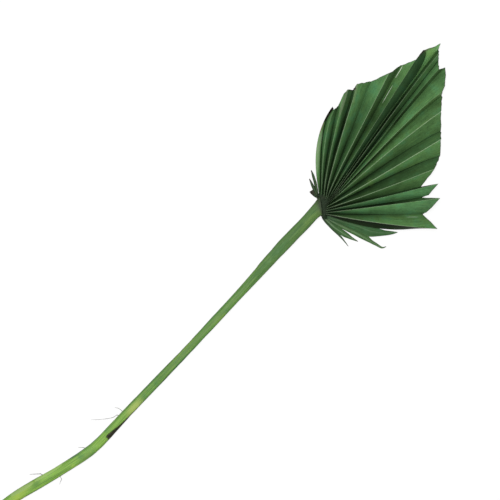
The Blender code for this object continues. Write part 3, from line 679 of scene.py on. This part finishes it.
def build_petiole(mat):
    rows = [stalk_row(y) for y in np.linspace(-450.0, -6.0, 300)]
    head = [smooth_rows((STALK[-2], STALK[-1], HEAD), t)[0] for t in np.linspace(0.55, 1.0, 7)[1:]]
    rows += head
    costa = [np.array(COSTA[0])] + [smooth_rows(COSTA, t)[0] for t in np.linspace(0.08, 1.0, 14)]
    rows += costa
    a = 2 * pi * np.arange(STALK_SIDES) / STALK_SIDES
    ca, sa = np.cos(a), np.sin(a)
    rings, side, run, scar, brink = [], [], [], [], []
    for row in rows:
        y, x, turn, half, low, high = row
        c, s = cos(radians(turn)), sin(radians(turn))
        edge = low + 0.58 * (high - low)
        # flat-topped above, round below, with a blunt edge on either side
        up = np.sign(sa) * np.abs(sa) ** np.where(sa >= 0, 0.62, 0.9)
        z = np.where(sa >= 0, edge + (high - edge) * up, edge + (edge - low) * up)
        u = half * ca
        in_stalk = 1.0 if y < -8 else 0.0
        # lengthwise ribs and hollows in the skin
        groove = 0.20 * fbm(a * 3.2, np.full_like(a, y / 90.0), 4.0) \
            + 0.10 * fbm(a * 9.0, np.full_like(a, y / 60.0), 6.0)
        wide = 0.28 * fbm(a * 1.0, np.full_like(a, y / 14.0), 11.0)
        swell = (groove + wide) * in_stalk
        if ca[0] > 0:      # the shoulder on the left-hand edge, where the stalk widens to the blade
            notch = float(sstep(-86.0, -95.0, y) * sstep(-170.0, -112.0, y))
            swell = swell - 0.60 * notch * np.clip(-ca, 0, 1) ** 2
        px = x + (u + swell * ca) * c
        py = y + (u + swell * ca) * s
        z = z + swell * np.where(sa >= 0, sa, 0.4 * sa)
        # the torn place on the right-hand edge
        bound = np.interp(py, [q[1] for q in SCAR], [q[0] for q in SCAR])
        torn = sstep(-0.25, 0.35, px - bound) * ((py > SCAR[0][1]) & (py < SCAR[-1][1])) * (sa > -0.55)
        torn = torn * in_stalk
        z = z - torn * (0.75 + 0.35 * vnoise(px * 1.1, py * 0.5, 2.0)) * sstep(-272.0, -300.0, y)
        rings.append(np.stack((px, py, z), 1))
        side.append(ca * half)
        brink.append(ca)
        run.append(np.full_like(a, y))
        scar.append(torn)
    n = STALK_SIDES
    verts = list(np.concatenate(rings))
    attrs = dict(side=list(np.concatenate(side)), run=list(np.concatenate(run)),
                 scar=list(np.concatenate(scar)), brink=list(np.concatenate(brink)), cut=[0.0] * len(verts), turn=list(np.tile(a, len(rows))))
    quads = []
    for k in range(len(rows) - 1):
        j = np.arange(n)
        j2 = (j + 1) % n
        quads.append(np.stack((k * n + j, k * n + j2, (k + 1) * n + j2, (k + 1) * n + j), 1))
    quads = np.concatenate(quads)
    # the cut end: a dished, fibrous face made of shrinking rings
    ring0 = rings[0]
    centre = ring0.mean(0)
    base = np.arange(n)
    extra = []
    for step, share in enumerate((0.93, 0.78, 0.55, 0.30)):
        start = len(verts)
        dish = 0.35 * (1 - share) + 0.25 * vnoise(a * 4.0, np.full_like(a, share * 9.0), 3.0)
        pts = centre + (ring0 - centre) * share
        pts[:, 1] += dish
        verts.extend(pts)
        for key, value in (("side", 0.0), ("run", -450.0), ("scar", 0.0), ("cut", 1.0), ("brink", 0.0)):
            attrs[key].extend([value] * n)
        attrs["turn"].extend(a)
        ring = np.arange(start, start + n)
        extra.append(np.stack((base, ring, np.roll(ring, -1), np.roll(base, -1)), 1))
        base = ring
    quads = np.concatenate([quads] + extra)
    tail = np.arange((len(rows) - 1) * n, len(rows) * n)
    return make_object("palm_petiole", np.array(verts), quads, attrs, mat, 60.0,
                       ngons=(tuple(base[::-1]), tuple(tail)))


def petiole_material():
    n = Net("petiole_skin", 0.52, 0.10)
    side, run, scar, cut, turn = (n.attr(k) for k in ("side", "run", "scar", "cut", "turn"))
    streak = n.noise(n.vec(n.mul(side, 1.15), n.mul(run, 0.012)), 1.0, 4.0, 0.62)
    fine = n.noise(n.vec(n.mul(side, 3.6), n.mul(run, 0.045), 5.0), 1.0, 3.0, 0.6)
    blotch = n.noise(n.place(), 45.0, 3.0, 0.6)
    fleck = n.noise(n.vec(n.mul(side, 0.9), n.mul(run, 0.16), 9.0), 1.0, 4.0, 0.65)
    upper = (0.044, 0.106, 0.026)
    middle = (0.069, 0.160, 0.035)
    lower = (0.150, 0.285, 0.046)
    yellow = (0.170, 0.250, 0.055)
    deep = (0.026, 0.068, 0.022)
    colour = n.mix(n.remap(run, -70.0, -135.0, 0.0, 1.0), upper, middle)
    colour = n.mix(n.remap(run, -225.0, -330.0, 0.0, 1.0), colour, lower)
    calm = n.remap(run, -130.0, -60.0, 1.0, 0.35)
    colour = n.mix(n.mul(n.remap(streak, 0.50, 0.66, 0.0, 0.75), calm), colour, yellow)
    colour = n.mix(n.mul(n.remap(streak, 0.50, 0.34, 0.0, 0.70), calm), colour, deep)
    colour = n.mix(n.mul(n.remap(blotch, 0.50, 0.64, 0.0, 0.55), calm), colour, (0.038, 0.128, 0.046))
    ripe = n.noise(n.vscale(n.vmath("MULTIPLY", n.place(), (1.0, 0.55, 1.0)), 1.0), 95.0, 3.0, 0.6)
    ripe = n.mul(n.remap(ripe, 0.52, 0.66, 0.0, 0.6), n.remap(run, -330.0, -385.0, 0.15, 1.0))
    colour = n.mix(ripe, colour, (0.225, 0.320, 0.050))
    colour = n.times(colour, n.remap(fine, 0.32, 0.68, 0.68, 1.32, False))
    # darker along both edges, the left one most: painted shade on the sides that turn away from the light
    brink = n.attr("brink")
    edge_shade_reach = n.remap(run, -130.0, -80.0, 1.0, 0.0)
    colour = n.mix(n.mul(n.remap(brink, -0.45, -0.80, 0.0, 0.22), edge_shade_reach), colour, (0.030, 0.078, 0.034))
    colour = n.mix(n.mul(n.remap(brink, 0.70, 0.90, 0.0, 0.12), edge_shade_reach), colour, (0.040, 0.085, 0.026))
    # and paler along the crown of the middle part, and just inside the edges of the upper part: painted light
    # where the rounded top faces the lamps
    crown = n.mul(n.remap(n.math("ABSOLUTE", brink), 0.15, 0.60, 1.0, 0.0), n.remap(run, -95.0, -125.0, 0.0, 1.0))
    crown = n.mul(crown, n.remap(run, -215.0, -245.0, 1.0, 0.0))
    colour = n.mix(n.mul(crown, 0.22), colour, (0.150, 0.225, 0.070))
    lit_flank = n.mul(n.remap(n.math("ABSOLUTE", brink), 0.30, 0.62, 0.0, 1.0), n.remap(run, -110.0, -75.0, 0.0, 1.0))
    colour = n.mix(n.mul(lit_flank, 0.20), colour, (0.105, 0.165, 0.060))
    # a thin dark outline at either edge: partly the browner skin of the margins, partly painted shade
    colour = n.mix(n.remap(n.math("ABSOLUTE", brink), 0.90, 0.985, 0.0, 0.85), colour, (0.024, 0.034, 0.020))
    # flecks of dead skin
    colour = n.mix(n.remap(fleck, 0.66, 0.74, 0.0, 0.6), colour, (0.075, 0.070, 0.030))
    # olive towards the hastula, then near black where it runs in under the crest and the blade: painted shade
    colour = n.mix(n.remap(run, -13.0, -4.0, 0.0, 0.45), colour, (0.050, 0.074, 0.030))
    colour = n.mix(n.remap(run, -6.5, -2.0, 0.0, 0.9), colour, (0.019, 0.028, 0.013))
    for kind, args, shade, strength in PETIOLE_MARKS:
        mask = n.line_mask(*args) if kind == "line" else n.spot_mask(*args)
        colour = n.mix(n.mul(mask, strength), colour, shade)
    # the torn place: brown torn tissue, darkened to near black as painted shade in its hollow
    rough_scar = n.noise(n.place(), 900.0, 3.0, 0.6)
    torn_and_shaded = n.mix(n.remap(rough_scar, 0.4, 0.65, 0.0, 1.0), (0.007, 0.009, 0.004), (0.030, 0.026, 0.014))
    colour = n.mix(scar, colour, torn_and_shaded)
    pith = n.mix(n.remap(n.noise(n.place(), 1500.0, 3.0, 0.7), 0.4, 0.6, 0.0, 1.0),
                 (0.33, 0.31, 0.15), (0.14, 0.13, 0.06))
    colour = n.mix(cut, colour, pith)
    n.colour(colour)
    n.rough(n.remap(fleck, 0.3, 0.7, 0.38, 0.60, False))
    n.bump(n.add(n.mul(streak, 0.5), n.mul(fine, 0.5)), 0.5, 0.0004)
    return n.mat


PETIOLE_MARKS = (
    ("spot", ((2.0, -280.0), 16.0, (3.0, 1.0)), (0.245, 0.315, 0.080), 0.9),
    ("spot", ((1.0, -351.0), 14.0, (3.6, 1.0)), (0.150, 0.225, 0.050), 0.4),
    ("spot", ((-22.0, -424.0), 18.0, (2.6, 1.0)), (0.230, 0.320, 0.048), 0.6),
    ("spot", ((-17.5, -404.0), 8.0, (2.0, 1.0)), (0.060, 0.140, 0.030), 0.6),
    # two dark teal lines down the left edge: painted shade on the side that turns away from the light
    ("line", ((-4.2, -322.0), (-8.3, -353.0), 2.6), (0.030, 0.085, 0.048), 0.75),
    ("line", ((-7.6, -347.0), (-10.4, -364.0), 2.6), (0.028, 0.080, 0.046), 0.75),
    ("line", ((-11.8, -372.0), (-20.0, -404.0), 3.0), (0.205, 0.318, 0.090), 0.85),
    ("line", ((-20.2, -406.0), (-27.6, -432.0), 3.0), (0.195, 0.285, 0.095), 0.75),
)


# ---------------------------------------------------------------------- hastula
HASTULA_FRONT = ((-9.8, 6.2), (-8.8, 8.1), (-5.6, 9.3), (-2.0, 9.7), (0.8, 10.3), (2.5, 9.6),
                 (3.1, 6.6), (4.4, 3.4), (6.5, 1.0), (9.0, -1.3), (9.8, -4.0))
HASTULA_BACK = ((-8.8, 5.75), (8.2, -7.5))
HASTULA_Z = (7.2, 13.2)
# its skin in full: it runs out over the roots of the free strips at either end
CREST_FRONT = ((-12.6, 6.0),) + HASTULA_FRONT + ((12.4, -6.4),)
CREST_BACK = ((-11.4, 3.6), (-8.8, 4.6), (-4.0, 1.8), (-0.3, -0.9), (4.0, -4.2), (8.2, -7.5), (9.6, -9.6))
CREST_FLOOR = 4.2


def build_hastula(mat):
    """The crest: a low lumpy ridge of bark, running out over the roots of the folds."""
    nt, nw = 64, 18
    t = np.linspace(0, 1, nt)
    front = smooth_rows(CREST_FRONT, t)
    back = smooth_rows(CREST_BACK, t)
    out = front - back
    out /= np.maximum(np.linalg.norm(out, axis=1), 1e-6)[:, None]
    front = front + out * (0.9 + 0.35 * vnoise(t * 26, np.zeros(nt), 2.0))[:, None]
    back = back - out * (0.8 + 0.4 * vnoise(t * 17, np.ones(nt), 4.0))[:, None]
    low, high = CREST_FLOOR, HASTULA_Z[1]
    profile = np.array([(0.0, 0.0), (0.0, 0.35), (0.02, 0.72), (0.10, 0.90), (0.20, 0.98), (0.32, 1.0),
                        (0.44, 0.97), (0.56, 0.91), (0.68, 0.83), (0.80, 0.74), (0.90, 0.66), (1.0, 0.56),
                        (1.0, 0.0)])
    rings, across = [], []
    for k in range(nt):
        crown = high - 1.6 * abs(2 * t[k] - 1) ** 2 - 3.5 * sstep(0.86, 1.0, abs(2 * t[k] - 1))
        w, h = profile[:, 0], profile[:, 1]
        pts = back[k] + (front[k] - back[k]) * w[:, None]
        z = low + (crown - low) * h
        z = z + np.where(h > 0.5, 0.45 * fbm(np.full_like(w, t[k] * 21), w * 3.5, 1.0)
                         + 0.20 * vnoise(np.full_like(w, t[k] * 60), w * 2.0, 7.0), 0.0)
        rings.append(np.column_stack((pts, z)))
        across.append(w)
    m = len(profile)
    verts = np.concatenate(rings)
    quads = []
    for k in range(nt - 1):
        j = np.arange(m)
        j2 = (j + 1) % m
        quads.append(np.stack((k * m + j, (k + 1) * m + j, (k + 1) * m + j2, k * m + j2), 1))
    attrs = dict(across=np.concatenate(across), along=np.repeat(t, m))
    return make_object("palm_hastula", verts, np.concatenate(quads), attrs, mat, 50.0,
                       ngons=(tuple(range(m)), tuple(reversed(range((nt - 1) * m, nt * m)))))


def hastula_material():
    n = Net("hastula_bark", 0.75, 0.05)
    across, along = n.attr("across"), n.attr("along")
    grain = n.noise(n.vec(n.mul(along, 60.0), n.mul(across, 3.0)), 1.0, 4.0, 0.65)
    patch = n.noise(n.place(), 260.0, 3.0, 0.6)
    colour = n.mix(n.remap(grain, 0.35, 0.68, 0.0, 1.0), (0.008, 0.014, 0.007), (0.024, 0.037, 0.021))
    colour = n.mix(n.remap(patch, 0.52, 0.72, 0.0, 0.5), colour, (0.032, 0.036, 0.024))
    colour = n.mix(n.remap(along, 0.82, 1.0, 0.0, 0.8), colour, (0.018, 0.038, 0.017))
    n.colour(colour)
    n.rough(n.remap(grain, 0.3, 0.7, 0.62, 0.82, False))
    n.bump(grain, 0.6, 0.0004)
    return n.mat


# ----------------------------------------------------------------------- fibres
FIBRES = {
    "fibre_1": ((-5.6, -291.6, 5.6), (-9.0, -291.9, 6.0), (-12.3, -293.8, 6.2)),
    "fibre_2": ((-5.6, -298.0, 5.0), (-7.4, -303.6, 5.6), (-13.5, -311.5, 6.2), (-21.1, -319.4, 5.8)),
    "fibre_3": ((-7.4, -345.4, 5.2), (-9.2, -346.8, 5.6), (-11.6, -349.0, 5.6)),
    "fibre_4": ((-20.8, -394.8, 5.4), (-24.0, -398.0, 5.8), (-28.4, -402.8, 5.6)),
    "fibre_5": ((-1.6, -384.2, 5.2), (-0.6, -386.8, 5.2), (0.4, -389.4, 4.8)),
}


def build_fibre(name, points, mat, seed):
    count, sides = 40, 10
    t = np.linspace(-0.10, 1, count)
    body = smooth_rows(points, np.maximum(t, 0))
    lead = (np.array(points[1]) - np.array(points[0]))
    # the root runs on into the skin of the stalk
    inward = np.array((np.sign(stalk_row(points[0][1])[1] - points[0][0]), 0.0, 0.0))
    inward = inward - 0.5 * lead / np.linalg.norm(lead)
    body = body - np.minimum(t, 0)[:, None] * inward / np.linalg.norm(inward) * 46.0
    body[:, 2] += 0.10 * vnoise(t * 9, np.zeros(count), seed)
    body[:, 0] += 0.10 * vnoise(t * 8, np.ones(count), seed)
    rings = []
    a = 2 * pi * np.arange(sides) / sides
    for k in range(count):
        d = body[min(k + 1, count - 1)] - body[max(k - 1, 0)]
        d /= np.linalg.norm(d)
        nx = np.cross(d, (0, 0, 1.0))
        nx /= np.linalg.norm(nx)
        nz = np.cross(nx, d)
        r = (0.36 if name == "fibre_4" else 0.26) * (1 - 0.55 * max(t[k], 0)) * (1 + 0.15 * sin(seed + 23 * t[k]))
        rings.append(body[k] + r * (np.cos(a)[:, None] * nx + np.sin(a)[:, None] * nz))
    quads = []
    for k in range(count - 1):
        j = np.arange(sides)
        j2 = (j + 1) % sides
        quads.append(np.stack((k * sides + j, k * sides + j2, (k + 1) * sides + j2, (k + 1) * sides + j), 1))
    return make_object("palm_" + name, np.concatenate(rings), np.concatenate(quads),
                       dict(along=np.repeat(t, sides)), mat, None,
                       ngons=(tuple(reversed(range(sides))), tuple(range((count - 1) * sides, count * sides))))


def fibre_material():
    n = Net("fibre_dry", 0.7, 0.3)
    along = n.attr("along")
    grain = n.noise(n.place(), 1400.0, 2.0, 0.6)
    colour = n.mix(n.remap(along, 0.0, 0.5, 0.0, 1.0), (0.06, 0.075, 0.045), (0.085, 0.080, 0.075))
    colour = n.mix(n.remap(grain, 0.4, 0.7, 0.0, 0.6), colour, (0.12, 0.11, 0.09))
    n.colour(colour)
    return n.mat


# --------------------------------------------------------------------- assembly
BLADE_MARKS = (
    ("line", ((-32.2, 137.5), (-27.3, 117.0), 0.32), (0.46, 0.52, 0.42), 0.9),
    ("line", ((-38.4, 159.0), (-35.2, 144.6), 0.34), (0.60, 0.64, 0.54), 0.9),
    ("line", ((69.1, 49.5), (78.6, 58.5), 0.32), (0.30, 0.38, 0.28), 0.6),
    ("line", ((-27.0, 20.0), (-44.6, 41.0), 2.6), (0.190, 0.280, 0.155), 0.60),
    ("line", ((-40.0, 34.0), (-52.8, 54.5), 2.6), (0.200, 0.285, 0.160), 0.65),
    ("line", ((-52.0, 48.5), (-57.0, 62.0), 1.3), (0.200, 0.170, 0.090), 0.8),
    ("line", ((-57.0, 61.0), (-61.6, 82.5), 1.9), (0.020, 0.015, 0.011), 0.95),
    ("line", ((-59.6, 71.0), (-61.4, 80.5), 1.9), (0.020, 0.015, 0.011), 0.95),
    ("line", ((-49.5, 76.0), (-63.5, 104.5), 1.9), (0.180, 0.260, 0.140), 0.75),
    ("line", ((-48.5, 95.5), (-60.5, 115.5), 2.0), (0.125, 0.200, 0.085), 0.55),
    ("line", ((-64.8, 102.6), (-56.4, 108.4), 2.3), (0.030, 0.017, 0.019), 0.9),
    ("spot", ((19.5, 50.7), 4.5, (1.0, 1.0)), (0.11, 0.21, 0.045), 0.32),
    ("spot", ((-26.4, 188.3), 8.0, (1.0, 1.0)), (0.12, 0.22, 0.05), 0.4),
)

blade_mat = leaf_material("leaf_blade", BLADE_MARKS)
strip_mat = leaf_material("leaf_strip")
stub_mat = leaf_material("leaf_withered")

blade = build_blade(blade_mat)
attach(blade, "root")
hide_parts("blade")

for k, (name, spec) in enumerate(STRIPS.items()):
    left = "left" in name
    piece = build_strip(name, spec, stub_mat if left else strip_mat, 1.7 + 2.3 * k)
    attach(piece, "root")
    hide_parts(name)

petiole = build_petiole(petiole_material())
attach(petiole, "root")
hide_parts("petiole")

crest = build_hastula(hastula_material())
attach(crest, "root")
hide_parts("hastula")

fibre_mat = fibre_material()
for k, (name, points) in enumerate(FIBRES.items()):
    piece = build_fibre(name, points, fibre_mat, 3.0 + 5.1 * k)
    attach(piece, "root")
    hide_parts(name)


# ------------------------------------------------------------------------ stage
def stage_floor():
    mesh = bpy.data.meshes.new("floor")
    r = 4.0
    mesh.from_pydata([(-r, -r, -0.0002), (r, -r, -0.0002), (r, r, -0.0002), (-r, r, -0.0002)], [],
                     [(0, 1, 2, 3)])
    mat = bpy.data.materials.new("floor_white")
    mat.use_nodes = True
    shader = mat.node_tree.nodes["Principled BSDF"]
    shader.inputs["Base Color"].default_value = (0.09, 0.09, 0.09, 1.0)
    shader.inputs["Roughness"].default_value = 0.9
    shader.inputs["Specular IOR Level"].default_value = 0.1
    shader.inputs["Emission Color"].default_value = (1.0, 1.0, 1.0, 1.0)
    shader.inputs["Emission Strength"].default_value = 0.88
    mesh.materials.append(mat)
    obj = bpy.data.objects.new("floor", mesh)
    bpy.context.scene.collection.objects.link(obj)
    return obj


stage_floor()
scene = bpy.context.scene

# the camera looks straight down, with the leaf running from lower left to upper right
TILT = radians(46.6)
UP = Vector((-cos(TILT), sin(TILT), 0.0))
RIGHT = UP.cross(Vector((0.0, 0.0, 1.0)))
DISTANCE = 1.91
target = Vector(((-22.52 + SHIFT[0]) * MM, (-83.07 + SHIFT[1]) * MM, 0.0))
cam_data = bpy.data.cameras.new("camera")
cam_data.sensor_width = 36.0
cam_data.lens = 36.0 * DISTANCE / 0.510
cam_data.clip_end = 20.0
cam = bpy.data.objects.new("camera", cam_data)
cam.matrix_world = Matrix.Translation(target + Vector((0, 0, DISTANCE))) @ Matrix(
    (RIGHT, UP, Vector((0, 0, 1)))).transposed().to_4x4()
scene.collection.objects.link(cam)
scene.camera = cam

world = bpy.data.worlds.new("studio")
world.use_nodes = True
world.node_tree.nodes["Background"].inputs["Color"].default_value = (1.0, 1.0, 1.0, 1.0)
world.node_tree.nodes["Background"].inputs["Strength"].default_value = 0.42
scene.world = world
scene.view_settings.view_transform = "Standard"
scene.view_settings.look = "None"


def lamp(name, direction, size, strength, distance=3.0):
    """A soft box: direction is (right, up, towards the camera) as the camera sees it."""
    d = (RIGHT * direction[0] + UP * direction[1] + Vector((0, 0, 1)) * direction[2]).normalized()
    data = bpy.data.lights.new(name, "AREA")
    data.shape = "DISK"
    data.size = size
    data.energy = strength
    obj = bpy.data.objects.new(name, data)
    obj.location = target + d * distance
    obj.rotation_euler = (-d).to_track_quat("-Z", "Y").to_euler()
    scene.collection.objects.link(obj)
    return obj


lamp("key", (-0.10, 0.05, 1.0), 1.0, 100.0)
lamp("side", (-0.9, 0.8, 1.0), 1.4, 14.0)
